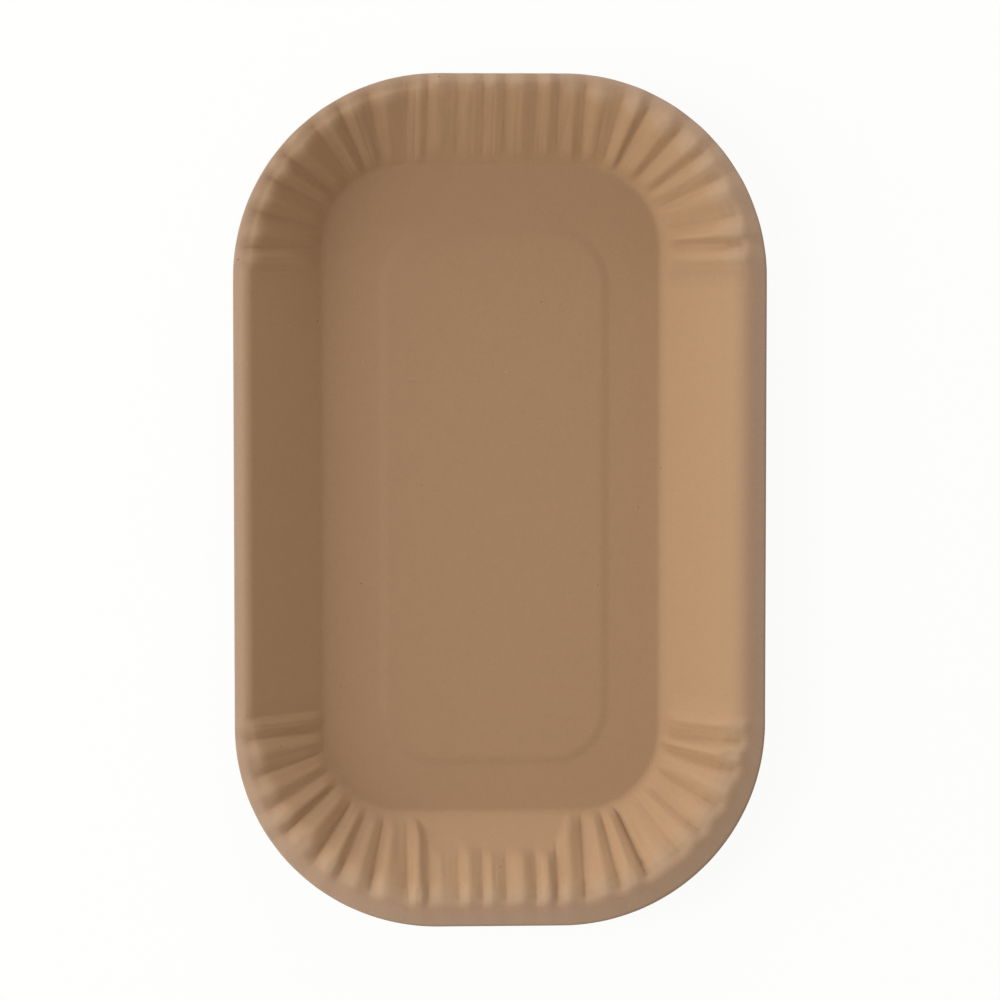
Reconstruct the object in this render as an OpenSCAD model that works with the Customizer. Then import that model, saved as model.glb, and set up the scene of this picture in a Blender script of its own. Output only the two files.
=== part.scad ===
// Pressed paper food tray: one sheet of kraft board with a flat floor, a sloping wall
// fluted at the corners and ends, plain long sides and a lip that turns over at the top.
// +Z is up and +Y runs along the tray. The origin is on the table, under the middle of
// the cut edge.

/* [Blank] */
// Overall width of the tray
body_w = 131; // [115:1:180]
// Overall length of the tray
body_l = 210; // [190:1:260]
// Overall height of the tray
body_h = 17.5; // [12:0.5:24]
// Corner radius of the cut edge
edge_corner_r = 50; // [40:1:56]
// Thickness of the board
sheet_t = 0.5; // [0.35:0.05:0.9]
// How far the sheet sat to the right of the press tool
blank_shift_x = 1.4; // [0:0.1:2]
// How far the sheet sat towards the front of the press tool
blank_shift_y = 2.2; // [0:0.1:3]

/* [Wall and lip] */
// Level distance from the floor's edge to the top of the lip, on the long sides
side_run = 19.3; // [16:0.1:24]
// Level distance from the floor's edge to the top of the lip, on the ends
end_run = 20; // [16:0.1:24]
// Lip beyond its top on the long sides, with the sheet centred
lip_side = 4; // [3:0.1:7]
// Lip beyond its top on the ends, with the sheet centred
lip_end = 4.2; // [3.5:0.1:8]
// Radius of the bend over the top of the lip
lip_r = 5.4; // [3:0.1:8]
// Slope of the lip outside its top, in degrees
lip_fall = 20; // [5:1:35]

/* [Floor] */
// Corner radius of the floor
floor_corner_r = 20; // [14:1:28]
// Radius of the bend between floor and wall
bend_r = 3; // [1.5:0.1:5]
// Width of the level ring that the tray stands on
ring_w = 13; // [8:0.5:16]
// Corner radius of the raised middle of the floor
panel_corner_r = 15; // [8:1:20]
// Height of the raised middle of the floor
panel_h = 0.5; // [0.3:0.1:1.5]
// Width of the step up to it
step_w = 3; // [1:0.1:4]
// How far the raised middle sits to the right of the floor's middle
panel_shift_x = 0.5; // [-2:0.1:2]
// How far the raised middle sits towards the front of the floor's middle
panel_shift_y = 1.6; // [-2:0.1:2]

/* [Flutes] */
// Distance from one flute to the next
flute_pitch = 6.2; // [5:0.1:8]
// Flutes on each end of a long side, past the corner
side_flutes = 1; // [0:1:3]
// Distance out from the floor's edge at which the corner flutes have that pitch
pitch_line = 9; // [4:0.5:14]
// Height of the flutes where they have that pitch; they are as much higher as wider
flute_h = 1; // [0.4:0.1:1.6]
// Height of the flutes across the back end, where they were pressed less deep
flute_h_back = 0.6; // [0.3:0.1:1.6]
// Distance from the floor's edge at which the flutes begin across the front end
flute_start_front = 7.5; // [1:0.5:9]
// Distance from the floor's edge at which the flutes begin across the back end
flute_start_back = 1.5; // [1:0.5:9]
// Distance from the floor's edge at which the corner flutes begin
flute_start_corner = 0.3; // [0:0.1:4]
// Distance over which a flute rises to its full height
flute_rise = 3; // [2:0.5:8]
// Height of the flutes on the lip
lip_flute_h = 0.45; // [0:0.05:0.6]
// How far the flutes differ from one another, as a share
flute_unevenness = 0.22; // [0:0.01:0.35]

/* [Hidden] */

kraft = [0.63, 0.486, 0.365];
// Steps that a flute is drawn with, and the plain stretch of a long side
flute_steps = 6;
plain_steps = 3;
// Points of the floor's edge for each point of the raised middle
panel_share = 3;
// Places of the rings on the straight of the wall
wall_rings = [0.2, 0.6];
// Share of an end, from its middle, that has the end's own flutes, and where the corner's
// begin
end_share = 0.6;
corner_share = 0.9;
// Turns the number of a flute into an angle with no pattern to it
slip_scatter = 137.5;
size_scatter = 83;
tiny = 1e-6;
far = 1e6;

tool_centre = [-blank_shift_x, blank_shift_y];
panel_centre = [panel_shift_x, -panel_shift_y];
floor_w = body_w - 2 * (side_run + lip_side);
floor_l = body_l - 2 * (end_run + lip_end);
crest_w = floor_w + 2 * side_run;
crest_l = floor_l + 2 * end_run;
crest_corner_r = min(edge_corner_r - (lip_side + lip_end) / 2, crest_w / 2 - 2);
panel_w = floor_w - 2 * ring_w;
panel_l = floor_l - 2 * ring_w;

// The straights of the floor's edge and of the raised middle, from the middle to where the
// corners begin
floor_straight = [floor_w / 2 - floor_corner_r, floor_l / 2 - floor_corner_r];
panel_straight = [panel_w / 2 - panel_corner_r, panel_l / 2 - panel_corner_r];

// One fluted stretch begins on a long side, runs round a corner, along an end and round
// the next corner, and ends on the other long side. Each of them holds a whole number of
// flutes.
pitch_r = floor_corner_r + pitch_line;
corner_path = pitch_r * PI / 2;
end_path = 2 * floor_straight.x;
corner_flutes = round(corner_path / flute_pitch);
end_flutes = max(1, round(end_path / flute_pitch));
flute_count = 2 * (side_flutes + corner_flutes) + end_flutes;
plain_straight = floor_straight.y - side_flutes * flute_pitch;

function smooth(x) = let(c = min(1, max(0, x))) c * c * (3 - 2 * c);
function mix(a, b, share) = a + (b - a) * share;

// Every line of points runs outwards square to the floor's edge. It is given as
// [x, y, angle]: the point of the floor's inner rectangle that it starts from, and its
// direction. Its place n along a fluted stretch is counted in flutes.
function ray_at(n) =
    let(past_side = n - side_flutes,
        past_corner = past_side - corner_flutes,
        past_end = past_corner - end_flutes,
        past_turn = past_end - corner_flutes,
        x = floor_straight.x,
        y = floor_straight.y)
    past_side < 0 ? [x, y + past_side * flute_pitch, 0]
    : past_corner < 0 ? [x, y, 90 * past_side / corner_flutes]
    : past_end < 0 ? [x * (1 - 2 * past_corner / end_flutes), y, 90]
    : past_turn < 0 ? [-x, y, 90 + 90 * past_end / corner_flutes]
    : [-x, y - past_turn * flute_pitch, 180];

function turned(ray) = [-ray[0], -ray[1], ray[2] + 180];

// Where flute n begins, counted in flutes; the flutes are a little uneven
function flute_from(n, stretch) =
    let(inside = n > 0 && n < flute_count)
    n + (inside ? flute_unevenness / 2 * sin((n + 40 * stretch) * slip_scatter) : 0);

function flute_size(n, stretch) =
    1 + flute_unevenness * sin((n + 40 * stretch) * size_scatter);

// [ray, height of the flute's wave from 0 to 1] for one fluted stretch
function fluted_rays(stretch) = [
    for (n = [0 : flute_count - 1], k = [0 : flute_steps - 1])
        let(q = k / flute_steps,
            ray = ray_at(mix(flute_from(n, stretch), flute_from(n + 1, stretch), q)))
        [stretch == 0 ? ray : turned(ray), flute_size(n, stretch) * sin(180 * q)]
];

function plain_rays(stretch) = [
    for (k = [0 : plain_steps - 1])
        let(y = plain_straight * (1 - 2 * k / plain_steps),
            ray = [-floor_straight.x, y, 180])
        [stretch == 0 ? ray : turned(ray), 0]
];

rays = concat(fluted_rays(0), plain_rays(0), fluted_rays(1), plain_rays(1));
ray_count = len(rays);

function heading(ray) = [cos(ray[2]), sin(ray[2])];

// Distance along a ray to the outline of a rounded rectangle about c
function reach(ray, w, l, r, c = [0, 0]) =
    let(d = heading(ray),
        p = [ray[0], ray[1]] - c,
        across = abs(d.x) < tiny ? far : (sign(d.x) * w / 2 - p.x) / d.x,
        along = abs(d.y) < tiny ? far : (sign(d.y) * l / 2 - p.y) / d.y,
        t = min(across, along),
        q = p + t * d,
        in_corner = abs(q.x) > w / 2 - r && abs(q.y) > l / 2 - r,
        m = p - [sign(q.x) * (w / 2 - r), sign(q.y) * (l / 2 - r)])
    in_corner ? sqrt(pow(m * d, 2) - m * m + r * r) - m * d : t;

// How wide the flutes are at a distance e out from the floor's edge, as they fan out round
// the corners
function fan(ray, e) =
    abs(sin(2 * ray[2])) < tiny ? 1 : (floor_corner_r + e) / pitch_r;

// 1 where a ray has the end's own flutes and 0 where it has the corner's
function in_end(ray) =
    1 - smooth((abs(ray[0]) / floor_straight.x - end_share) / (corner_share - end_share));

// Height of the crest without its flutes
crest_h = body_h - sheet_t - lip_flute_h * max([for (r = rays) r[1]]);

// Slope of the wall that rises to the crest over the given run
function wall_angle(run) =
    2 * atan(crest_h / (run + sqrt(run * run + crest_h * crest_h - 2 * lip_r * crest_h)));

// Height of the unfluted sheet at a distance e out from the floor's edge
function sheet_z(e, run, slope) =
    let(bend = bend_r * tan(slope / 2),
        past = e - run - lip_r * sin(lip_fall))
    e < -bend ? 0
    : e < bend * cos(slope) ? bend_r - sqrt(bend_r * bend_r - pow(e + bend, 2))
    : e < run - lip_r * sin(slope) ? e * tan(slope)
    : past < 0 ? crest_h - lip_r + sqrt(lip_r * lip_r - pow(e - run, 2))
    : crest_h - lip_r * (1 - cos(lip_fall)) - past * tan(lip_fall);

// How far a flute moves the wall inwards there, from nothing at the foot of the wall
function flute_inwards(e, slope, ray) =
    let(at_front = ray[2] > 180,
        end_start = at_front ? flute_start_front : flute_start_back,
        end_height = at_front ? flute_h : flute_h_back,
        start = mix(flute_start_corner, end_start, in_end(ray)),
        height = mix(flute_h * fan(ray, e), end_height, in_end(ray)))
    height / sin(slope) * smooth((e - start) / flute_rise);

// Height of the fluted sheet: a flute is the wall moved inwards up to the crest, and on
// the lip beyond it a low wave is left
function fluted_z(e, run, slope, ray, wave) =
    let(moved = min(e + wave * flute_inwards(e, slope, ray), run),
        lip = run - lip_r * sin(slope))
    sheet_z(max(moved, e), run, slope)
        + wave * lip_flute_h * smooth((e - lip) / (run - lip));

// Distances out from the floor's edge of the rings that the sheet is drawn with
function ring_distances(run, slope, edge) =
    let(bend = bend_r * tan(slope / 2),
        wall = bend * cos(slope),
        lip = run - lip_r * sin(slope))
    concat(
        [-bend, wall],
        [for (share = wall_rings) mix(wall, lip, share)],
        [lip, run - lip_r * sin(slope / 2), run, mix(run, edge, 0.5), edge]
    );

// The middle of the board's thickness, as one list of points for each ray
sheet = [
    for (r = rays)
        let(ray = r[0],
            wave = r[1],
            run = reach(ray, crest_w, crest_l, crest_corner_r) - floor_corner_r,
            edge = reach(ray, body_w, body_l, edge_corner_r, -tool_centre) - floor_corner_r,
            slope = wall_angle(run))
        [for (e = ring_distances(run, slope, edge))
            let(q = tool_centre + [ray[0], ray[1]] + (floor_corner_r + e) * heading(ray))
            [q.x, q.y, sheet_t / 2 + fluted_z(e, run, slope, ray, wave)]]
];
ring_count = len(sheet[0]);

function level(v) = [v.x, v.y];

// Slope between two points of the sheet
function grade(a, b) = (b.z - a.z) / max(norm(level(b - a)), tiny);

// Half of the board's thickness, measured upright where the sheet slopes
function half_upright(i, j) =
    let(outward = grade(sheet[i][max(j - 1, 0)], sheet[i][min(j + 1, ring_count - 1)]),
        around = grade(sheet[(i + ray_count - 1) % ray_count][j],
                       sheet[(i + 1) % ray_count][j]))
    j == 0 ? sheet_t / 2 : sheet_t / 2 * sqrt(1 + outward * outward + around * around);

function sheet_side(side) = [
    for (j = [0 : ring_count - 1], i = [0 : ray_count - 1])
        sheet[i][j] + [0, 0, side * half_upright(i, j)]
];

// An outline of the raised middle, with one point for every few rays
function panel_ring(inset, z) = [
    for (i = [0 : panel_share : ray_count - 1])
        let(ray = rays[i][0],
            start = [ray[0] / floor_straight.x * panel_straight.x,
                     ray[1] / floor_straight.y * panel_straight.y],
            q = tool_centre + panel_centre + start + (panel_corner_r - inset) * heading(ray))
        [q.x, q.y, z]
];
panel_count = ray_count / panel_share;

// The foot of the step, its top and the middle of the floor
function panel_side(z) = concat(
    panel_ring(0, z),
    panel_ring(step_w, z + panel_h),
    [[tool_centre.x + panel_centre.x, tool_centre.y + panel_centre.y, z + panel_h]]
);

function flipped(faces) = [for (f = faces) [f[2], f[1], f[0]]];

// Faces of one side of the sheet, whose rings start at point a and its panel at point b
function side_faces(a, b) = concat(
    [for (j = [0 : ring_count - 2], i = [0 : ray_count - 1])
        let(k = (i + 1) % ray_count, p = a + j * ray_count, q = p + ray_count)
        each [[p + i, p + k, q + k], [p + i, q + k, q + i]]],
    [for (k = [0 : panel_count - 1])
        let(i = panel_share * k, n = (k + 1) % panel_count, m = (i + panel_share) % ray_count)
        each [[b + k, a + i + 1, a + i], [b + k, a + i + 2, a + i + 1],
              [b + n, a + m, a + i + 2], [b + k, b + n, a + i + 2]]],
    [for (k = [0 : panel_count - 1])
        let(n = (k + 1) % panel_count, c = b + panel_count, middle = c + panel_count)
        each [[c + k, c + n, b + n], [c + k, b + n, b + k], [middle, c + n, c + k]]]
);

module tray() {
    top = sheet_side(1);
    foot = sheet_side(-1);
    size = len(top);
    panel = 2 * panel_count + 1;
    last_ring = (ring_count - 1) * ray_count;
    cut_edge = [
        for (i = [0 : ray_count - 1])
            let(k = (i + 1) % ray_count, p = last_ring, q = size + panel + last_ring)
            each [[p + i, p + k, q + k], [p + i, q + k, q + i]]
    ];
    color(kraft)
        polyhedron(
            points = concat(top, panel_side(sheet_t), foot, panel_side(0)),
            faces = concat(side_faces(0, size),
                           flipped(side_faces(size + panel, 2 * size + panel)),
                           cut_edge),
            convexity = 6
        );
}

tray();
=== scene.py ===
import math

import bpy
import numpy as np
from mathutils import Matrix, Vector


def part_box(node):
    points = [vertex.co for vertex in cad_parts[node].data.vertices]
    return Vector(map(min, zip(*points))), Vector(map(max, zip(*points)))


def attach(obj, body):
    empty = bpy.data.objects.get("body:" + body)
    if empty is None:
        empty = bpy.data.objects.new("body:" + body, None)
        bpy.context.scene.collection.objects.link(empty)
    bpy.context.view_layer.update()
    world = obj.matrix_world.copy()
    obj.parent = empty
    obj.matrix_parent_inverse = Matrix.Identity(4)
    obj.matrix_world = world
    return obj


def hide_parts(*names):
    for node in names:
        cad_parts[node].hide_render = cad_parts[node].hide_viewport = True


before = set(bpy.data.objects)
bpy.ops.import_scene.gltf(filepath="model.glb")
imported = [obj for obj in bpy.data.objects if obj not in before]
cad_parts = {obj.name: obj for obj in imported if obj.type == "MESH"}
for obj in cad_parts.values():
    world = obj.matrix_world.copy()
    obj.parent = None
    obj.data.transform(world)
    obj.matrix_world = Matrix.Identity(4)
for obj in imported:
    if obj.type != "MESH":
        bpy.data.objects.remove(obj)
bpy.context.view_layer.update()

# Sizes of the tray, in metres. The overall ones come from the tray's part in model.glb, the
# others are the press tool's.
MM = 0.001
tray_low, tray_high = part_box("tray")
TRAY_W, TRAY_L, TRAY_H = tray_high - tray_low

SHEET_T = 0.5 * MM
TOOL_CENTRE = np.array([-1.4, 2.2]) * MM
EDGE_CORNER_R = 50 * MM
SIDE_RUN = 19.3 * MM
END_RUN = 20 * MM
LIP_SIDE = 4 * MM
LIP_END = 4.2 * MM
# The wide lip at the right and front turns over in a wider bend than the narrow one
LIP_R = 5.4 * MM
LIP_R_NARROW = 3.0 * MM
LIP_FALL = math.radians(20)
LIP_FALL_NARROW = math.radians(9)
NARROW_LIP = 2.0 * MM
WIDE_LIP = 5.0 * MM

FLOOR_CORNER_R = 20 * MM
BEND_R = 3 * MM
RING_W = 13 * MM
PANEL_CORNER_R = 15 * MM
PANEL_H = 0.3 * MM
PANEL_SHIFT = np.array([0.5, -1.6]) * MM
STEP_W = 3 * MM

FLOOR_SIZE = np.array([TRAY_W - 2 * (SIDE_RUN + LIP_SIDE), TRAY_L - 2 * (END_RUN + LIP_END)])
CREST_SIZE = FLOOR_SIZE + 2 * np.array([SIDE_RUN, END_RUN])
EDGE_SIZE = np.array([TRAY_W, TRAY_L]) - SHEET_T * math.sin(LIP_FALL)
CREST_CORNER_R = EDGE_CORNER_R - (LIP_SIDE + LIP_END) / 2
PANEL_SIZE = FLOOR_SIZE - 2 * RING_W
FLOOR_STRAIGHT = FLOOR_SIZE / 2 - FLOOR_CORNER_R
PANEL_STRAIGHT = PANEL_SIZE / 2 - PANEL_CORNER_R

# Flutes: each moves the wall inwards, up to the crest
SIDE_FLUTES = 1
CORNER_FLUTES = 7
END_FLUTES = 7
FLUTES = 2 * (SIDE_FLUTES + CORNER_FLUTES) + END_FLUTES
FLUTE_PITCH = 6.2 * MM
PITCH_LINE = 9 * MM
FLUTE_H = 1.1 * MM
FLUTE_H_BACK = 0.3 * MM
END_SHARE = 0.6
CORNER_SHARE = 0.9
FLUTE_START_FRONT = 7.5 * MM
FLUTE_START_BACK = 1.5 * MM
FLUTE_START_CORNER = 0.3 * MM
FLUTE_RISE = 3 * MM
LIP_FLUTE_H = 0.45 * MM
UNEVENNESS = 0.22
LIP_RIPPLE = 0.1 * MM
CREST_H = TRAY_H - SHEET_T - LIP_RIPPLE - LIP_FLUTE_H * (1 + UNEVENNESS)

# How high each flute came out, as a share of the full height, counted round from the right
# side's back end. Those not named came out in full.
ODD_FLUTES = {5: 0.9, 6: 0.8, 7: 0.75, 8: 0.45, 14: 0.3, 15: 0.45}
ODD_FLUTES.update({n: 0.75 for n in range(16, 22)})
ODD_FLUTES.update({22: 0.35, 23: 0.4, 24: 0.7, 25: 0.9})
ODD_FLUTES.update({n: 1.2 for n in range(26, 32)})
ODD_FLUTES.update({32: 0.45, 37: 1.1, 38: 1.3, 39: 1.4, 40: 0.4})
ODD_FLUTES.update({42: 1.3, 43: 1.4, 44: 1.4, 45: 1.1})
# Degrees by which sizes and slips step on from flute to flute, so that neighbours differ
SIZE_SCATTER = 83
SLIP_SCATTER = 137.5
SLIP_OFFSET = 40

# Valleys where the board folded onto itself, as a share of the fold's depth. A fold's half
# width and a crease's are counted in flutes.
DEEP_FOLDS = {25: 0.2, 28: 0.35, 30: 0.3, 38: 0.3, 39: 0.25, 40: 0.8, 42: 0.2, 43: 0.25}
FOLD_SHARE = 0.17
FOLD_DEPTH = 0.7 * MM
CREASE_SHARE = 0.08
WRINKLES_PER_FLUTE = 3.2
WRINKLE_LENGTH = 11 * MM
# How deep the valleys cut into the crest, half the length over which that comes, past the
# bend's start, and half that over which it goes, just past the crest
CREST_NOTCH = 0.55 * MM
NOTCH_START_SOFT = 1.2 * MM
NOTCH_END = 0.3 * MM
NOTCH_END_SOFT = 1.3 * MM
FLUTE_TOP_LENGTH = 5 * MM
PLAIN_LIP_WIDTH = 5.6 * MM
PLAIN_LIP_WAVE = 0.1

# How finely the sheet is drawn
STEPS_PER_FLUTE = 18
SIDE_STEPS = 24
STEP_RINGS = 7
RING_RINGS = 3
BEND_RINGS = 5
WALL_RINGS = 16
LIP_RINGS = 8
OUTER_LIP_RINGS = 8

# Points closer than this are one
MERGE = 2e-6

SEED = 7

# The board's colours, the tints that its fibres give it, and painted light and shade
BOARD = (0.347, 0.198, 0.107, 1)
# Walls painted lighter than the floor: painted light for the extra light the walls catch
WALL_PAINTED_LIGHT = (0.385, 0.222, 0.121, 1)
# Paler, greyer board on the lip and its outermost band: partly the board's own tone, partly
# painted sheen
TURNED_OVER_BOARD = (0.388, 0.243, 0.157, 1)
OUTERMOST_BOARD = (0.385, 0.258, 0.188, 1)
# Painted highlight on the flute tops near the crest
FLUTE_TOP_HIGHLIGHT = (0.47, 0.33, 0.228, 1)
# Painted shade in the flutes' valleys and deep folds
VALLEY_SHADE = (0.215, 0.115, 0.058, 1)
DARK_SPECK = (0.12, 0.06, 0.03, 1)
PALE_SPECK = (0.52, 0.36, 0.22, 1)
CUT_EDGE = (0.42, 0.29, 0.19, 1)
LIGHTER = (1.10, 1.11, 1.12, 1)
DARKER = (0.86, 0.84, 0.82, 1)

LAMP_DISTANCE = 1.6
LAMP_SIZE = 0.8


def smooth(x):
    """An even start and end: 0 at 0 and 1 at 1."""
    x = np.clip(x, 0, 1)
    return x * x * (3 - 2 * x)


def mix(a, b, share):
    """A value the given share of the way from a to b."""
    return a + (b - a) * share


def reach(starts, headings, size, corner_r, centre=(0, 0)):
    """Distance from each start, along its heading, to the outline of a rounded rectangle."""
    p = starts - np.array(centre)
    with np.errstate(divide="ignore", invalid="ignore"):
        sides = (np.sign(headings) * size / 2 - p) / headings
    sides[np.abs(headings) < 1e-9] = np.inf
    straight = sides.min(1)
    q = p + straight[:, None] * headings
    corner = size / 2 - corner_r
    m = p - np.sign(q) * corner
    along = (m * headings).sum(1)
    under_root = np.maximum(along ** 2 - (m ** 2).sum(1) + corner_r ** 2, 0)
    return np.where((np.abs(q) > corner).all(1), np.sqrt(under_root) - along, straight)


def rays(slip):
    """Start and angle of each line of points, square to the floor's edge, once round the tray.

    slip moves the lines of the fluted stretches sideways, counted in flutes.
    """
    halves = []
    for half, turn in enumerate((1, -1)):
        n = np.arange(FLUTES * STEPS_PER_FLUTE) / STEPS_PER_FLUTE + slip[half]
        past_side = n - SIDE_FLUTES
        past_corner = past_side - CORNER_FLUTES
        past_end = past_corner - END_FLUTES
        past_turn = past_end - CORNER_FLUTES
        x = FLOOR_STRAIGHT[0] * np.clip(1 - 2 * past_corner / END_FLUTES, -1, 1)
        on_side = np.maximum(-past_side, 0) + np.maximum(past_turn, 0)
        y = FLOOR_STRAIGHT[1] - FLUTE_PITCH * on_side
        quarters = (np.clip(past_side / CORNER_FLUTES, 0, 1)
                    + np.clip(past_end / CORNER_FLUTES, 0, 1))
        plain = FLOOR_STRAIGHT[1] - FLUTE_PITCH * SIDE_FLUTES
        side = plain * (1 - 2 * np.arange(SIDE_STEPS) / SIDE_STEPS)
        starts = np.concatenate([
            np.column_stack([x, y]),
            np.column_stack([np.full(SIDE_STEPS, -FLOOR_STRAIGHT[0]), side]),
        ])
        angles = np.concatenate([quarters * math.pi / 2, np.full(SIDE_STEPS, math.pi)])
        halves.append((turn * starts, angles + (math.pi if turn < 0 else 0)))
    starts, angles = (np.concatenate(pair) for pair in zip(*halves))
    return starts, angles


def valley_slips():
    """How far each point's flute has slipped sideways: its two valleys, and a mix between."""
    slips = []
    for half in range(2):
        number = np.arange(FLUTES + 1)
        valleys = UNEVENNESS / 2 * np.sin(np.radians((number + SLIP_OFFSET * half) * SLIP_SCATTER))
        valleys[[0, -1]] = 0
        place = np.arange(FLUTES * STEPS_PER_FLUTE) / STEPS_PER_FLUTE
        slips.append(np.interp(place, number, valleys))
    return slips


def wall_slope(run, lip_r):
    """Slope of the wall that reaches the crest over the given run and ends in the lip's bend."""
    root = np.sqrt(run ** 2 + CREST_H ** 2 - 2 * lip_r * CREST_H)
    return 2 * np.arctan(CREST_H / (run + root))


def sheet_height(e, run, slope, lip_r, lip_fall):
    """Height of the unfluted sheet at a distance e out from the floor's edge."""
    bend = BEND_R * np.tan(slope / 2)
    past = e - run - lip_r * np.sin(lip_fall)
    in_bend = BEND_R - np.sqrt(np.maximum(BEND_R ** 2 - (e + bend) ** 2, 0))
    in_lip = CREST_H - lip_r + np.sqrt(np.maximum(lip_r ** 2 - (e - run) ** 2, 0))
    outer_lip = CREST_H - lip_r * (1 - np.cos(lip_fall)) - past * np.tan(lip_fall)
    return np.select(
        [e < -bend, e < bend * np.cos(slope), e < run - lip_r * np.sin(slope), past < 0],
        [0 * e, in_bend, e * np.tan(slope), in_lip],
        outer_lip,
    )


def shares(count):
    """Where the given number of rings lie in a band, up to its outer end."""
    return [(k + 1) / count for k in range(count)]


def sheet_rings(slips):
    """The middle of the board, ring by ring from the raised panel to the cut edge.

    Each ring is its points and what the flute press and the board's finish read there.
    """
    def ring(slip_share, kind, share):
        starts, angles = rays([slip * slip_share for slip in slips])
        headings = np.column_stack([np.cos(angles), np.sin(angles)])
        run = reach(starts, headings, CREST_SIZE, CREST_CORNER_R) - FLOOR_CORNER_R
        edge = reach(starts, headings, EDGE_SIZE, EDGE_CORNER_R, -TOOL_CENTRE) - FLOOR_CORNER_R
        wide = smooth((edge - run - NARROW_LIP) / (WIDE_LIP - NARROW_LIP))
        lip_r = mix(LIP_R_NARROW, LIP_R, wide)
        lip_fall = mix(LIP_FALL_NARROW, LIP_FALL, wide)
        slope = wall_slope(run, lip_r)
        bend = BEND_R * np.tan(slope / 2)
        wall = bend * np.cos(slope)
        lip = run - lip_r * np.sin(slope)
        flat = np.full(len(starts), -FLOOR_CORNER_R)

        def panel(inset):
            middle = PANEL_SHIFT + starts * PANEL_STRAIGHT / FLOOR_STRAIGHT
            return middle + (PANEL_CORNER_R - inset) * headings

        def outwards(e):
            return starts + (FLOOR_CORNER_R + e)[:, None] * headings

        e = {
            "panel": lambda: flat,
            "step": lambda: flat,
            "ring": lambda: mix(flat, -bend, share),
            "bend": lambda: mix(-bend, wall, share),
            "wall": lambda: mix(wall, lip, share),
            "lip": lambda: run - lip_r * np.sin(slope * (1 - share)),
            "outer lip": lambda: mix(run, edge, share),
        }[kind]()
        plan = {
            "panel": lambda: panel(mix(PANEL_CORNER_R - STEP_W, STEP_W, share)),
            "step": lambda: panel(STEP_W * (1 - share)),
            "ring": lambda: mix(panel(0), outwards(-bend), share),
        }.get(kind, lambda: outwards(e))()
        raised = {"panel": 1.0, "step": 1 - smooth(share)}.get(kind, 0.0)
        z = SHEET_T / 2 + sheet_height(e, run, slope, lip_r, lip_fall) + PANEL_H * raised

        from_middle = np.abs(starts[:, 0]) / FLOOR_STRAIGHT[0]
        in_end = 1 - smooth((from_middle - END_SHARE) / (CORNER_SHARE - END_SHARE))
        at_front = np.sin(angles) < 0
        end_start = np.where(at_front, FLUTE_START_FRONT, FLUTE_START_BACK)
        end_height = np.where(at_front, 1.0, FLUTE_H_BACK / FLUTE_H)
        in_corner = np.abs(np.sin(2 * angles)) > 1e-6
        fan = np.where(in_corner, (FLOOR_CORNER_R + e) / (FLOOR_CORNER_R + PITCH_LINE), 1.0)
        return {
            "points": np.column_stack([TOOL_CENTRE + plan, z]),
            "out": e,
            "run": run,
            "slope": slope,
            "lip_radius": lip_r,
            "flute_start": mix(FLUTE_START_CORNER, end_start, in_end),
            "flute_spread": mix(fan, end_height, in_end),
            "lip_top": smooth((e - lip) / (run - lip)),
            "outer_lip": np.clip((e - run) / (edge - run), 0, 1),
            "lip_width": edge - run,
        }

    places = [(0, "panel", 0), (0, "panel", 0.5), (0, "panel", 0.9), (0, "panel", 1)]
    places += [(0, "step", share) for share in shares(STEP_RINGS)]
    places += [(smooth(share), "ring", share) for share in shares(RING_RINGS)]
    places += [(1, "bend", share) for share in shares(BEND_RINGS)]
    places += [(1, "wall", share) for share in shares(WALL_RINGS)]
    places += [(1, "lip", share) for share in shares(LIP_RINGS)]
    places += [(1, "outer lip", share) for share in shares(OUTER_LIP_RINGS)]
    return [ring(*place) for place in places]


def deep_folds(number, across):
    """How deep the fold is at each point: full in its valley, nothing a little beside it."""
    depth = np.zeros(len(number))
    for valley, share in DEEP_FOLDS.items():
        beside = np.abs(number + across - valley) / FOLD_SHARE
        depth = np.maximum(depth, share * np.clip(1 - beside, 0, 1) * (number >= 0))
    return depth


def inside_flutes(number, across):
    """1 within a fluted stretch, falling to 0 over half a flute at its ends."""
    place = np.where(number < FLUTES, number, number - FLUTES) + across
    return np.clip(2 * np.minimum(place, FLUTES - place), 0, 1) * (number >= 0)


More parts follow.
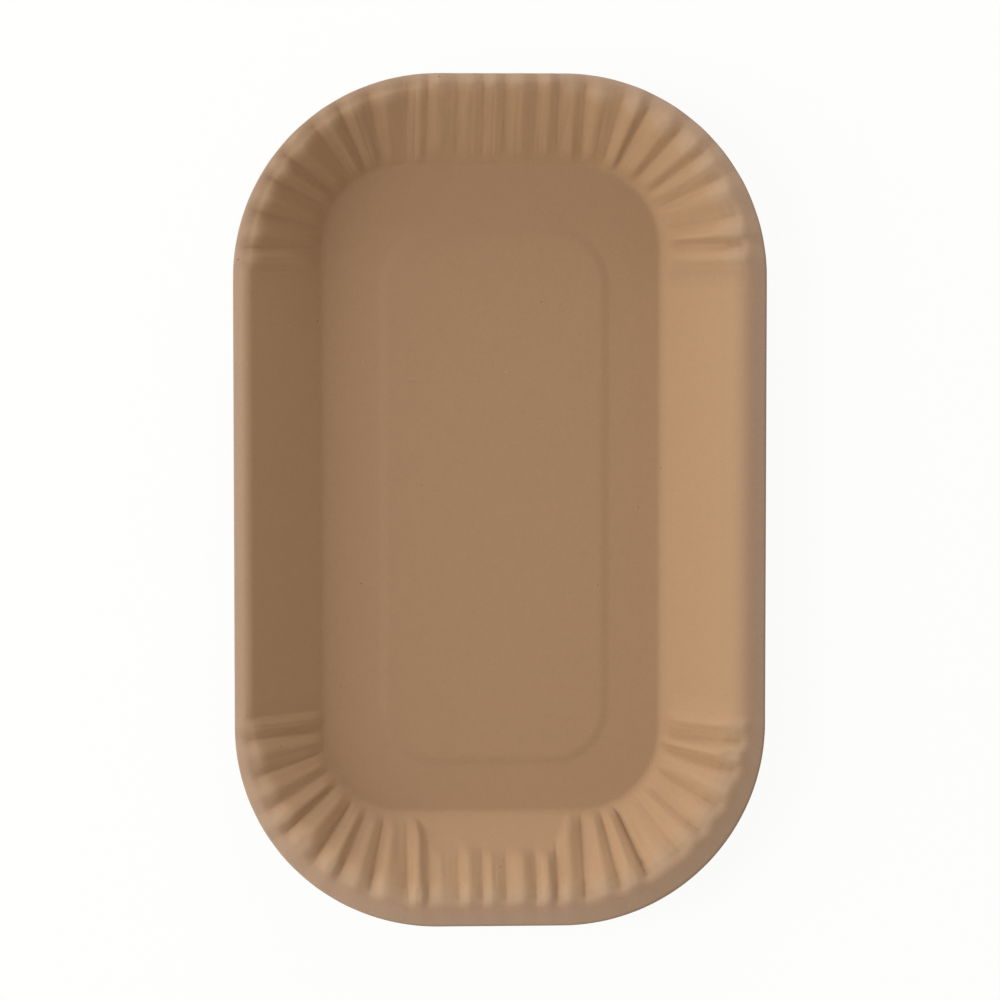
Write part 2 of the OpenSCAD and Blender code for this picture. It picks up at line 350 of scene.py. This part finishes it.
def pressed_sheet():
    """The sheet's middle layer before the flutes are pressed, as one mesh."""
    rings = sheet_rings(valley_slips())
    around = len(rings[0]["points"])
    points = [ring["points"] for ring in rings]
    faces = []
    for j in range(len(rings) - 1):
        for i in range(around):
            k = (i + 1) % around
            inner, outer = j * around, (j + 1) * around
            faces.append((inner + i, outer + i, outer + k, inner + k))

    # The level middle is a fan to its own centre
    centre = len(rings) * around
    points.append([[*(TOOL_CENTRE + PANEL_SHIFT), rings[0]["points"][0, 2]]])
    faces += [(centre, i, (i + 1) % around) for i in range(around)]

    mesh = bpy.data.meshes.new("tray_sheet")
    mesh.from_pydata(np.concatenate(points).tolist(), [], [tuple(map(int, f)) for f in faces])

    for name in list(rings[0])[1:]:
        values = np.concatenate([ring[name] for ring in rings] + [rings[0][name][:1]])
        layer = mesh.attributes.new(name, "FLOAT", "POINT")
        layer.data.foreach_set("value", values.astype(np.float32))

    fluted = np.arange(FLUTES * STEPS_PER_FLUTE)
    plain = np.zeros(SIDE_STEPS)
    across = np.concatenate([fluted % STEPS_PER_FLUTE / STEPS_PER_FLUTE, plain])
    number = fluted // STEPS_PER_FLUTE
    number = np.concatenate([number, plain - 1, number + FLUTES, plain - 1])
    across = np.concatenate([np.tile(across, 2 * len(rings)), [0]])
    number = np.concatenate([np.tile(number, len(rings)), [-1]])
    for name, values in (
        ("across_flute", across),
        ("flute_size", np.array([ODD_FLUTES.get(int(n), 1.0) for n in number])),
        ("deep_fold", deep_folds(number, across)),
        ("in_flutes", inside_flutes(number, across)),
    ):
        layer = mesh.attributes.new(name, "FLOAT", "POINT")
        layer.data.foreach_set("value", values.astype(np.float32))
    layer = mesh.attributes.new("flute_number", "INT", "POINT")
    layer.data.foreach_set("value", number.astype(np.int32))
    return mesh


def feed(tree, socket, value):
    """Links a value to a socket if it is another socket, and sets it there otherwise."""
    if isinstance(value, bpy.types.NodeSocket):
        tree.links.new(value, socket)
    else:
        socket.default_value = value


def add(tree, kind, values=None, **settings):
    """Adds a node with its settings, and feeds its inputs by name or number."""
    node = tree.nodes.new(kind)
    for name, setting in settings.items():
        setattr(node, name, setting)
    for key, value in (values or {}).items():
        feed(tree, node.inputs[key], value)
    return node


def calc(tree, operation, *values):
    """One step of arithmetic, as a Math node."""
    node = add(tree, "ShaderNodeMath", dict(enumerate(values)), operation=operation)
    return node.outputs[0]


def product(tree, value, *factors):
    """The values multiplied in turn."""
    for factor in factors:
        value = calc(tree, "MULTIPLY", value, factor)
    return value


def blend_values(tree, share, a, b):
    """A value between a and b, as a Mix node."""
    node = add(tree, "ShaderNodeMix", {0: share, 2: a, 3: b}, data_type="FLOAT")
    return node.outputs[0]


def remap(tree, value, low, high, to_low=0.0, to_high=1.0):
    """Takes a value from one range to another, held at the ends."""
    node = add(tree, "ShaderNodeMapRange", {0: value, 1: low, 2: high, 3: to_low, 4: to_high})
    return node.outputs[0]


def attribute_of(tree, name, data_type="FLOAT"):
    node = add(tree, "GeometryNodeInputNamedAttribute", {"Name": name}, data_type=data_type)
    return node.outputs["Attribute"]


def store(tree, geometry, name, value, domain="POINT"):
    values = {"Geometry": geometry, "Name": name, "Value": value}
    node = add(tree, "GeometryNodeStoreNamedAttribute", values, data_type="FLOAT", domain=domain)
    return node.outputs["Geometry"]


def thicken(tree, sheet, thickness, board):
    """Gives the sheet its thickness, half above it and half below, and its material."""
    half = product(tree, thickness, -0.5)
    normal = add(tree, "GeometryNodeInputNormal").outputs[0]
    down = add(tree, "ShaderNodeVectorMath", {0: normal, "Scale": half}, operation="SCALE")
    under = add(tree, "GeometryNodeSetPosition", {"Geometry": sheet, "Offset": down.outputs[0]})
    upper = add(tree, "GeometryNodeExtrudeMesh",
                {"Mesh": under.outputs[0], "Offset Scale": thickness, "Individual": False},
                mode="FACES")
    rim = store(tree, upper.outputs["Mesh"], "cut_edge", upper.outputs["Side"], "FACE")
    turned = add(tree, "GeometryNodeFlipFaces", {"Mesh": under.outputs[0]})
    both = add(tree, "GeometryNodeJoinGeometry")
    tree.links.new(turned.outputs[0], both.inputs[0])
    tree.links.new(rim, both.inputs[0])
    closed = add(tree, "GeometryNodeMergeByDistance",
                 {"Geometry": both.outputs[0], "Distance": MERGE})
    off_edge = calc(tree, "LESS_THAN", attribute_of(tree, "cut_edge"), 0.5)
    smoothed = add(tree, "GeometryNodeSetShadeSmooth",
                   {"Geometry": closed.outputs[0], "Selection": off_edge})
    real = add(tree, "GeometryNodeRealizeInstances", {"Geometry": smoothed.outputs[0]})
    faced = add(tree, "GeometryNodeSetMaterial",
                {"Geometry": real.outputs[0], "Material": board})
    return faced.outputs[0]


def flute_press():
    """The press: moves the wall inwards in flutes, then gives the board its thickness."""
    tree = bpy.data.node_groups.new("Flute press", "GeometryNodeTree")
    face = tree.interface
    face.new_socket("Sheet", in_out="INPUT", socket_type="NodeSocketGeometry")
    for name in ("Flute height", "Flute rise", "Foot scatter", "Unevenness", "Lean",
                 "Flank share", "Ridge rounding", "Softness", "Crease depth", "Wrinkle depth",
                 "Fold depth", "Crest height", "Crest notch", "Lip flute height",
                 "Plain lip width", "Lip ripple", "Board thickness"):
        face.new_socket(name, in_out="INPUT", socket_type="NodeSocketFloat")
    face.new_socket("Seed", in_out="INPUT", socket_type="NodeSocketInt")
    face.new_socket("Board", in_out="INPUT", socket_type="NodeSocketMaterial")
    face.new_socket("Tray", in_out="OUTPUT", socket_type="NodeSocketGeometry")
    asked = tree.nodes.new("NodeGroupInput").outputs

    number = attribute_of(tree, "flute_number", "INT")
    across = attribute_of(tree, "across_flute")
    out = attribute_of(tree, "out")
    run = attribute_of(tree, "run")
    slope = attribute_of(tree, "slope")
    lip_radius = attribute_of(tree, "lip_radius")
    spread = attribute_of(tree, "flute_spread")
    lip_top = attribute_of(tree, "lip_top")
    outer_lip = attribute_of(tree, "outer_lip")
    in_flutes = attribute_of(tree, "in_flutes")

    def by_chance(low, high, step):
        values = {2: low, 3: high, "ID": number, "Seed": calc(tree, "ADD", asked["Seed"], step)}
        return add(tree, "FunctionNodeRandomValue", values, data_type="FLOAT").outputs[1]

    # One flute's section: a sharp valley on each side of a rounded ridge
    ridge = calc(tree, "MULTIPLY_ADD", by_chance(-1.0, 1.0, 2), asked["Lean"], 0.5)
    near_face = calc(tree, "DIVIDE", across, ridge)
    far_face = calc(tree, "DIVIDE", calc(tree, "SUBTRACT", 1.0, across),
                    calc(tree, "SUBTRACT", 1.0, ridge))
    climb = calc(tree, "MINIMUM", near_face, far_face)
    flank = calc(tree, "DIVIDE", climb, asked["Flank share"])
    folded = calc(tree, "SMOOTH_MIN", flank, 1.0, asked["Ridge rounding"])
    waved = add(tree, "ShaderNodeMapRange", {0: climb}, interpolation_type="SMOOTHSTEP").outputs[0]
    fold = blend_values(tree, asked["Softness"], folded, waved)

    # Its size, which begins at the foot of the wall
    turn = product(tree, number, math.radians(SIZE_SCATTER))
    size = calc(tree, "MULTIPLY_ADD", calc(tree, "SINE", turn), asked["Unevenness"], 1.0)
    size = product(tree, size, attribute_of(tree, "flute_size"))
    deep_fold = attribute_of(tree, "deep_fold")
    start = calc(tree, "MULTIPLY_ADD", by_chance(-1.0, 1.0, 3), asked["Foot scatter"],
                 attribute_of(tree, "flute_start"))
    up = calc(tree, "DIVIDE", calc(tree, "SUBTRACT", out, start), asked["Flute rise"])
    rise = add(tree, "ShaderNodeMapRange", {0: up}, interpolation_type="SMOOTHSTEP").outputs[0]
    full = product(tree, asked["Flute height"], spread)

    # A fine crease along each flute, near its ridge
    crease_at = by_chance(0.34, 0.66, 4)
    off_crease = calc(tree, "ABSOLUTE", calc(tree, "SUBTRACT", across, crease_at))
    crease = product(tree, remap(tree, off_crease, 0.0, CREASE_SHARE, 1.0, 0.0),
                     by_chance(0.0, 1.0, 5), asked["Crease depth"])
    pressed_in = calc(tree, "SUBTRACT", product(tree, fold, size, full), crease)
    fluted = calc(tree, "GREATER_THAN", fold, 0.0)
    depth = product(tree, pressed_in, fluted)
    depth = calc(tree, "SUBTRACT", depth, product(tree, deep_fold, asked["Fold depth"]))

    # Fine wrinkles that run up the wall beside the folds
    place_round = calc(tree, "ADD", number, across)
    along = add(tree, "ShaderNodeCombineXYZ", {
        "X": product(tree, place_round, WRINKLES_PER_FLUTE),
        "Y": calc(tree, "DIVIDE", out, WRINKLE_LENGTH),
    })
    wrinkles = add(tree, "ShaderNodeTexNoise",
                   {"Vector": along.outputs[0], "Scale": 1.0, "Detail": 1.0})
    wrinkle = calc(tree, "MULTIPLY_ADD", wrinkles.outputs[0], 2.0, -1.0)
    wrinkle = product(tree, wrinkle, in_flutes, asked["Wrinkle depth"])
    depth = calc(tree, "ADD", depth, wrinkle)
    depth = product(tree, depth, rise)
    inwards = calc(tree, "DIVIDE", depth, calc(tree, "SINE", slope))

    bend_run = product(tree, lip_radius, calc(tree, "SINE", slope))
    bend_start = calc(tree, "SUBTRACT", run, bend_run)

    # The wall's own height at a distance from the floor's edge, up to its crest
    def wall_height(distance):
        flat = product(tree, distance, calc(tree, "TANGENT", slope))
        short = calc(tree, "SUBTRACT", distance, run)
        under_root = calc(tree, "SUBTRACT", calc(tree, "POWER", lip_radius, 2.0),
                          product(tree, short, short))
        root = calc(tree, "SQRT", calc(tree, "MAXIMUM", under_root, 0.0))
        bent = calc(tree, "ADD", calc(tree, "SUBTRACT", asked["Crest height"], lip_radius), root)
        on_bend = calc(tree, "GREATER_THAN", distance, bend_start)
        return blend_values(tree, on_bend, flat, bent)

    moved = calc(tree, "MINIMUM", calc(tree, "ADD", out, inwards), run)
    lift = calc(tree, "SUBTRACT", wall_height(moved), wall_height(out))
    below_crest = calc(tree, "LESS_THAN", out, run)
    within = product(tree, calc(tree, "GREATER_THAN", out, 0.0), below_crest)
    lift = product(tree, lift, within)

    # What is left of the flutes on the lip. A wide lip was pressed flat again.
    plain_width = asked["Plain lip width"]
    flat_lip = remap(tree, attribute_of(tree, "lip_width"), product(tree, plain_width, 0.6),
                     plain_width, 1.0, PLAIN_LIP_WAVE)
    near_crest = blend_values(tree, 0.2, 1.0, flat_lip)
    at_edge = blend_values(tree, remap(tree, outer_lip, 0.0, 0.35), near_crest, flat_lip)
    low_wave = calc(tree, "MINIMUM", product(tree, fold, size), 1 + UNEVENNESS)
    wave = product(tree, low_wave, asked["Lip flute height"])
    on_lip = product(tree, wave, lip_top, at_edge)

    place = add(tree, "GeometryNodeInputPosition").outputs[0]
    noise = add(tree, "ShaderNodeTexNoise", {"Vector": place, "Scale": 45.0, "Detail": 1.0})
    unrest = calc(tree, "MULTIPLY_ADD", noise.outputs[0], 2.0, -1.0)
    ripple = product(tree, unrest, lip_top, asked["Lip ripple"])
    height = calc(tree, "ADD", calc(tree, "ADD", lift, on_lip), ripple)

    # The valleys stay deep up to the crest and stop there
    def step_at(place, width):
        value = calc(tree, "DIVIDE", calc(tree, "SUBTRACT", out, place), width)
        return add(tree, "ShaderNodeMapRange", {0: value, 1: -1.0, 2: 1.0},
                   interpolation_type="SMOOTHSTEP").outputs[0]

    notch_end = calc(tree, "ADD", run, NOTCH_END)
    notched = calc(tree, "SUBTRACT", step_at(bend_start, NOTCH_START_SOFT),
                   step_at(notch_end, NOTCH_END_SOFT))
    notched = product(tree, calc(tree, "MAXIMUM", notched, 0.0), in_flutes)
    below = calc(tree, "SUBTRACT", 1.0, product(tree, fold, size))
    below = calc(tree, "MAXIMUM", below, 0.0)
    notch = product(tree, below, notched, asked["Crest notch"], spread)
    height = calc(tree, "SUBTRACT", height, notch)
    upwards = add(tree, "ShaderNodeCombineXYZ", {"Z": height})
    joined = add(tree, "GeometryNodeMergeByDistance",
                 {"Geometry": asked["Sheet"], "Distance": MERGE})
    pressed = add(tree, "GeometryNodeSetPosition",
                  {"Geometry": joined.outputs[0], "Offset": upwards.outputs[0]}).outputs[0]

    # Marks that the board's material reads, among them painted shade in the valleys, a painted
    # highlight on the flute tops, painted light on the walls and painted sheen on the lip
    # Painted shade along the valleys, and deeper along the deep folds
    valley = remap(tree, climb, 0.0, 0.2, 1.0, 0.0)
    valley = calc(tree, "MAXIMUM", product(tree, valley, 0.3), deep_fold)
    fluted_stretch = remap(tree, number, -0.5, 0.0)
    up_to_crest = product(tree, rise, below_crest)
    marked = store(tree, pressed, "valley_shade",
                   product(tree, valley, product(tree, up_to_crest, fluted_stretch)))
    marked = store(tree, marked, "ridge", product(tree, fold, rise))
    # Painted highlight on the flute tops, just below the crest
    from_crest = calc(tree, "DIVIDE", calc(tree, "SUBTRACT", out, run), FLUTE_TOP_LENGTH)
    at_top = product(tree, remap(tree, from_crest, -1.0, -0.45),
                     remap(tree, from_crest, 0.25, -0.1), in_flutes)
    marked = store(tree, marked, "flute_top_highlight", product(tree, at_top, product(tree, fold, spread)))
    # From the wall's foot outwards the board is painted lighter, as painted light
    marked = store(tree, marked, "wall_painted_light", remap(tree, out, -0.5 * MM, 1.5 * MM))
    past_bend = calc(tree, "DIVIDE", calc(tree, "SUBTRACT", out, run), lip_radius)
    # Paler, greyer lip: partly the board's own tone, partly painted sheen
    marked = store(tree, marked, "turned_over", remap(tree, past_bend, -0.55, 0.35))
    marked = store(tree, marked, "outermost", remap(tree, outer_lip, 0.3, 1.0))
    marked = store(tree, marked, "round_place", place_round)
    marked = store(tree, marked, "up_place", out)
    off_lip = remap(tree, past_bend, 0.5, -0.2)
    marked = store(tree, marked, "fluted", product(tree, rise, in_flutes, off_lip))

    result = tree.nodes.new("NodeGroupOutput")
    pressed_board = thicken(tree, marked, asked["Board thickness"], asked["Board"])
    tree.links.new(pressed_board, result.inputs["Tray"])
    return tree


def press_tray(board):
    """Presses the sheet into the tray, as a plain mesh at the origin."""
    blank = bpy.data.objects.new("tray_blank", pressed_sheet())
    bpy.context.collection.objects.link(blank)
    tree = flute_press()
    press = blank.modifiers.new("press", "NODES")
    press.node_group = tree
    settings = {
        "Flute height": FLUTE_H,
        "Flute rise": FLUTE_RISE,
        "Foot scatter": 0.8 * MM,
        "Unevenness": UNEVENNESS,
        "Lean": 0.14,
        "Flank share": 0.94,
        "Ridge rounding": 0.22,
        "Softness": 0.45,
        "Crease depth": 0.12 * MM,
        "Wrinkle depth": 0.12 * MM,
        "Fold depth": FOLD_DEPTH,
        "Crest height": CREST_H,
        "Crest notch": CREST_NOTCH,
        "Lip flute height": LIP_FLUTE_H,
        "Plain lip width": PLAIN_LIP_WIDTH,
        "Lip ripple": LIP_RIPPLE,
        "Board thickness": SHEET_T,
        "Seed": SEED,
        "Board": board,
    }
    for item in tree.interface.items_tree:
        if item.in_out == "INPUT" and item.name in settings:
            press[item.identifier] = settings[item.name]
    bpy.context.view_layer.update()
    evaluated = blank.evaluated_get(bpy.context.evaluated_depsgraph_get())
    mesh = bpy.data.meshes.new_from_object(evaluated)
    mesh.name = "tray_pressed"
    blank.modifiers.remove(press)
    bpy.data.objects.remove(blank)
    tray = bpy.data.objects.new("pressed_tray", mesh)
    bpy.context.collection.objects.link(tray)
    return tray


def new_group(name, inputs, outputs):
    """A shader node group with the given sockets. An input is its name and start value."""
    tree = bpy.data.node_groups.new(name, "ShaderNodeTree")
    for socket, start in inputs.items():
        kind = "NodeSocketVector" if start is None else "NodeSocketFloat"
        made = tree.interface.new_socket(socket, in_out="INPUT", socket_type=kind)
        if start is not None:
            made.default_value = start
    for socket in outputs:
        tree.interface.new_socket(socket, in_out="OUTPUT", socket_type="NodeSocketFloat")
    return tree, tree.nodes.new("NodeGroupInput").outputs, tree.nodes.new("NodeGroupOutput").inputs


def noise_at(tree, place, scale, detail=2.0, roughness=0.5, distortion=0.0):
    values = {"Vector": place, "Scale": scale, "Detail": detail, "Roughness": roughness,
              "Distortion": distortion}
    return add(tree, "ShaderNodeTexNoise", values).outputs[0]


def vector_calc(tree, operation, values):
    """One step of arithmetic on places, as a Vector Math node."""
    return add(tree, "ShaderNodeVectorMath", values, operation=operation).outputs[0]


def wavered(tree, place, scale, amount):
    """The place pushed about by noise, so that nothing drawn there is quite straight."""
    waver = add(tree, "ShaderNodeTexNoise", {"Vector": place, "Scale": scale, "Detail": 1.0})
    shift = vector_calc(tree, "SCALE", {0: waver.outputs[1], "Scale": amount})
    return vector_calc(tree, "ADD", {0: place, 1: shift})


def fibre_group():
    """Short fibres that lie in four directions, as a light and dark tone and as a height."""
    tree, asked, out = new_group("Board fibres", {"Place": None, "Fibre width": 0.16 * MM,
                                                  "Fibre length": 2.2 * MM}, ["Tone", "Height"])
    place = wavered(tree, asked["Place"], 260.0, 0.9 * MM)
    thin = calc(tree, "DIVIDE", 1.0, asked["Fibre width"])
    long = calc(tree, "DIVIDE", 1.0, asked["Fibre length"])
    stretch = add(tree, "ShaderNodeCombineXYZ", {"X": long, "Y": thin, "Z": long}).outputs[0]
    light, dark = None, None
    for step, angle in enumerate((12, 64, 103, 157)):
        turn = {"Vector": place, "Angle": math.radians(angle)}
        turned = add(tree, "ShaderNodeVectorRotate", turn, rotation_type="Z_AXIS").outputs[0]
        drawn = vector_calc(tree, "MULTIPLY", {0: turned, 1: stretch})
        moved = vector_calc(tree, "ADD", {0: drawn, 1: (7.3 * step, 3.1 * step, 0.0)})
        strand = noise_at(tree, moved, 1.0, 1.5, 0.5)
        pale = remap(tree, strand, 0.56, 0.72)
        deep = remap(tree, strand, 0.42, 0.28)
        light = pale if light is None else calc(tree, "MAXIMUM", light, pale)
        dark = deep if dark is None else calc(tree, "MAXIMUM", dark, deep)
    tree.links.new(calc(tree, "SUBTRACT", light, dark), out["Tone"])
    tree.links.new(calc(tree, "ADD", light, product(tree, dark, -0.4)), out["Height"])
    return tree


def formation_group():
    """The cloudy look of board against the light: soft clouds and a finer unevenness."""
    tree, asked, out = new_group("Board formation", {"Place": None, "Cloud size": 9 * MM,
                                                     "Grain size": 1.1 * MM}, ["Tone"])
    per_cloud = calc(tree, "DIVIDE", 1.0, asked["Cloud size"])
    per_grain = calc(tree, "DIVIDE", 1.0, asked["Grain size"])
    clouds = noise_at(tree, asked["Place"], per_cloud, 3.0, 0.6)
    grain = noise_at(tree, asked["Place"], per_grain, 2.0, 0.6)
    tone = calc(tree, "ADD", calc(tree, "MULTIPLY_ADD", clouds, 2.0, -1.0),
                calc(tree, "MULTIPLY_ADD", grain, 1.2, -0.6))
    tree.links.new(tone, out["Tone"])
    return tree


def speck_group():
    """Few small specks, each a drawn-out dot of its own size."""
    inputs = {"Place": None, "Spacing": 4 * MM, "Size": 0.3 * MM, "Share": 0.3}
    tree, asked, out = new_group("Board specks", inputs, ["Specks"])
    place = wavered(tree, asked["Place"], 2200.0, 0.25 * MM)
    per_speck = calc(tree, "DIVIDE", 1.0, asked["Spacing"])
    cells = add(tree, "ShaderNodeTexVoronoi", {"Vector": place, "Scale": per_speck}, feature="F1")
    split = add(tree, "ShaderNodeSeparateColor", {0: cells.outputs["Color"]})
    kept = calc(tree, "LESS_THAN", split.outputs[0], asked["Share"])
    across = product(tree, cells.outputs["Distance"], asked["Spacing"])
    radius = product(tree, asked["Size"], calc(tree, "MULTIPLY_ADD", split.outputs[1], 0.7, 0.3))
    dot = remap(tree, across, radius, product(tree, radius, 0.5), 0.0, 1.0)
    tree.links.new(product(tree, dot, kept), out["Specks"])
    return tree


def place_group(tree, group, values):
    node = tree.nodes.new("ShaderNodeGroup")
    node.node_tree = group
    for name, value in values.items():
        feed(tree, node.inputs[name], value)
    return node.outputs


def tint(tree, share, colour, other, blend="MIX"):
    """Mixes a colour into another by a share."""
    values = {0: share, 6: colour, 7: other}
    node = add(tree, "ShaderNodeMix", values, data_type="RGBA", blend_type=blend)
    return node.outputs[2]


def mark_of(tree, name):
    """What the press stored on the mesh under the given name."""
    return add(tree, "ShaderNodeAttribute", attribute_name=name).outputs["Fac"]


def kraft_board():
    """Unbleached board: a warm brown with fine fibres, paler where it turns over the lip, partly
    as painted sheen, with painted light on the walls, a painted highlight on the flute tops and
    painted shade in the valleys.
    """
    material = bpy.data.materials.new("kraft board")
    material.use_nodes = True
    tree = material.node_tree
    shader = tree.nodes["Principled BSDF"]
    place = add(tree, "ShaderNodeTexCoord").outputs["Object"]

    fibres = place_group(tree, fibre_group(), {"Place": place})
    clouds = place_group(tree, formation_group(), {"Place": place})["Tone"]
    specks = speck_group()
    dark_specks = place_group(tree, specks, {"Place": place, "Spacing": 5 * MM, "Size": 0.34 * MM,
                                             "Share": 0.22})["Specks"]
    pale_place = vector_calc(tree, "ADD", {0: place, 1: (0.13, 0.07, 0.02)})
    pale_specks = place_group(tree, specks, {"Place": pale_place, "Spacing": 3 * MM,
                                             "Size": 0.28 * MM, "Share": 0.3})["Specks"]

    # Streaks that run up the fluted wall, from the board sliding in the press
    streak_place = add(tree, "ShaderNodeCombineXYZ", {
        "X": product(tree, mark_of(tree, "round_place"), 5.0),
        "Y": product(tree, mark_of(tree, "up_place"), 90.0),
    }).outputs[0]
    streak_noise = noise_at(tree, streak_place, 1.0, 2.0, 0.55)
    streaks = calc(tree, "MULTIPLY_ADD", streak_noise, 2.0, -1.0)
    streaks = product(tree, streaks, mark_of(tree, "fluted"))

    # Colour of the board, then painted light and shade: walls painted lighter than the floor, a
    # paler greyer lip that is partly its own tone and partly painted sheen, a painted highlight on
    # the flute tops and painted shade in the valleys
    # Walls painted lighter than the floor, as painted light
    colour = tint(tree, mark_of(tree, "wall_painted_light"), BOARD, WALL_PAINTED_LIGHT)
    # Paler, greyer lip and outermost band: partly the board's own tone, partly painted sheen
    colour = tint(tree, mark_of(tree, "turned_over"), colour, TURNED_OVER_BOARD)
    colour = tint(tree, product(tree, mark_of(tree, "outermost"), 0.6), colour, OUTERMOST_BOARD)
    lighter = tint(tree, 1.0, colour, LIGHTER, "MULTIPLY")
    darker = tint(tree, 1.0, colour, DARKER, "MULTIPLY")
    tone = calc(tree, "ADD", product(tree, clouds, 0.16),
                product(tree, fibres["Tone"], 0.42))
    tone = calc(tree, "ADD", tone, product(tree, streaks, 0.9))
    colour = tint(tree, remap(tree, tone, 0.0, 1.0), colour, lighter)
    colour = tint(tree, remap(tree, tone, 0.0, -1.0), colour, darker)
    colour = tint(tree, product(tree, mark_of(tree, "ridge"), 0.25), colour, lighter)
    # Painted highlight on the flute tops near the crest
    colour = tint(tree, product(tree, mark_of(tree, "flute_top_highlight"), 0.28), colour, FLUTE_TOP_HIGHLIGHT)
    # Painted shade in the valleys and deep folds
    valley_shade_share = product(tree, mark_of(tree, "valley_shade"), 0.55)
    colour = tint(tree, valley_shade_share, colour, VALLEY_SHADE)
    colour = tint(tree, product(tree, dark_specks, 0.6), colour, DARK_SPECK)
    colour = tint(tree, product(tree, pale_specks, 0.35), colour, PALE_SPECK)
    colour = tint(tree, product(tree, mark_of(tree, "cut_edge"), 0.6), colour, CUT_EDGE)
    tree.links.new(colour, shader.inputs["Base Color"])

    rough = calc(tree, "MULTIPLY_ADD", fibres["Tone"], 0.05, 0.76)
    rough = calc(tree, "SUBTRACT", rough, product(tree, mark_of(tree, "ridge"), 0.06))
    tree.links.new(rough, shader.inputs["Roughness"])

    tooth = noise_at(tree, place, 1 / (0.35 * MM), 3.0, 0.6)
    relief = calc(tree, "ADD", product(tree, fibres["Height"], 0.5), tooth)
    bump = add(tree, "ShaderNodeBump", {"Strength": 0.35, "Distance": 0.05 * MM, "Height": relief})
    tree.links.new(bump.outputs[0], shader.inputs["Normal"])
    return material


def white_floor():
    """A pale table that looks white from above and still takes the tray's soft shadow."""
    material = bpy.data.materials.new("white table")
    material.use_nodes = True
    tree = material.node_tree
    shader = tree.nodes["Principled BSDF"]
    shader.inputs["Base Color"].default_value = (0.9, 0.9, 0.89, 1)
    shader.inputs["Roughness"].default_value = 0.9
    glow = add(tree, "ShaderNodeEmission", {"Color": (1, 1, 0.99, 1), "Strength": 1.0})
    seen = add(tree, "ShaderNodeLightPath").outputs["Is Camera Ray"]
    share = product(tree, seen, 0.93)
    mixed = add(tree, "ShaderNodeMixShader", {0: share, 1: shader.outputs[0], 2: glow.outputs[0]})
    clear = add(tree, "ShaderNodeBsdfTransparent")
    below = add(tree, "ShaderNodeNewGeometry").outputs["Backfacing"]
    sided = add(tree, "ShaderNodeMixShader", {0: below, 1: mixed.outputs[0], 2: clear.outputs[0]})
    tree.links.new(sided.outputs[0], tree.nodes["Material Output"].inputs["Surface"])

    mesh = bpy.data.meshes.new("table")
    reach_out = 6.0
    corners = [(-reach_out, -reach_out, 0), (reach_out, -reach_out, 0),
               (reach_out, reach_out, 0), (-reach_out, reach_out, 0)]
    mesh.from_pydata(corners, [], [(0, 1, 2, 3)])
    mesh.materials.append(material)
    table = bpy.data.objects.new("table", mesh)
    bpy.context.collection.objects.link(table)


def studio_world(strength, colour):
    world = bpy.data.worlds.new("studio")
    bpy.context.scene.world = world
    world.use_nodes = True
    tree = world.node_tree
    fill = tree.nodes["Background"]
    fill.inputs["Color"].default_value = (*colour, 1)
    fill.inputs["Strength"].default_value = strength
    white = add(tree, "ShaderNodeBackground", {"Color": (1, 1, 1, 1), "Strength": 1.0})
    seen = add(tree, "ShaderNodeLightPath").outputs["Is Camera Ray"]
    mixed = add(tree, "ShaderNodeMixShader", {0: seen, 1: fill.outputs[0], 2: white.outputs[0]})
    tree.links.new(mixed.outputs[0], tree.nodes["World Output"].inputs["Surface"])


def soft_lamp(name, azimuth, elevation, power, colour):
    """A square soft lamp that faces the tray. Azimuth 0 is the tray's right, 90 its back."""
    a, e = math.radians(azimuth), math.radians(elevation)
    away = Vector((math.cos(a) * math.cos(e), math.sin(a) * math.cos(e), math.sin(e)))
    light = bpy.data.lights.new(name, "AREA")
    light.shape = "SQUARE"
    light.size = LAMP_SIZE
    light.energy = power
    light.color = colour
    lamp = bpy.data.objects.new(name, light)
    lamp.location = away * LAMP_DISTANCE
    lamp.rotation_euler = away.to_track_quat("Z", "Y").to_euler()
    bpy.context.collection.objects.link(lamp)


def camera_above():
    """The photograph's view: from almost straight above, a little to the left and back."""
    distance = 0.9
    width_seen = 245.6 * MM
    lean_left, lean_back = math.radians(2.9), math.radians(3.3)
    aim = Vector((-0.25 * MM, 0.7 * MM, 16 * MM))
    back = Vector((-math.tan(lean_left), math.tan(lean_back), 1)).normalized()
    right = Vector((0, 1, 0)).cross(back).normalized()
    up = back.cross(right)
    data = bpy.data.cameras.new("camera")
    data.lens = data.sensor_width * distance / width_seen
    camera = bpy.data.objects.new("camera", data)
    turn = Matrix((right, up, back)).transposed().to_4x4()
    camera.matrix_world = Matrix.Translation(aim + back * distance) @ turn
    bpy.context.collection.objects.link(camera)
    bpy.context.scene.camera = camera


bpy.context.scene.view_settings.view_transform = "Standard"
camera_above()
white_floor()
studio_world(0.575, (1.0, 0.97, 0.87))
soft_lamp("lamp_left_low", 180, 12, 9.4, (0.86, 1.0, 0.85))
soft_lamp("lamp_left_high", 180, 40, 12.4, (0.98, 0.98, 1.0))
soft_lamp("lamp_back_low", 90, 12, 14.2, (0.86, 0.95, 1.0))

tray = press_tray(kraft_board())
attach(tray, "root")
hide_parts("tray")
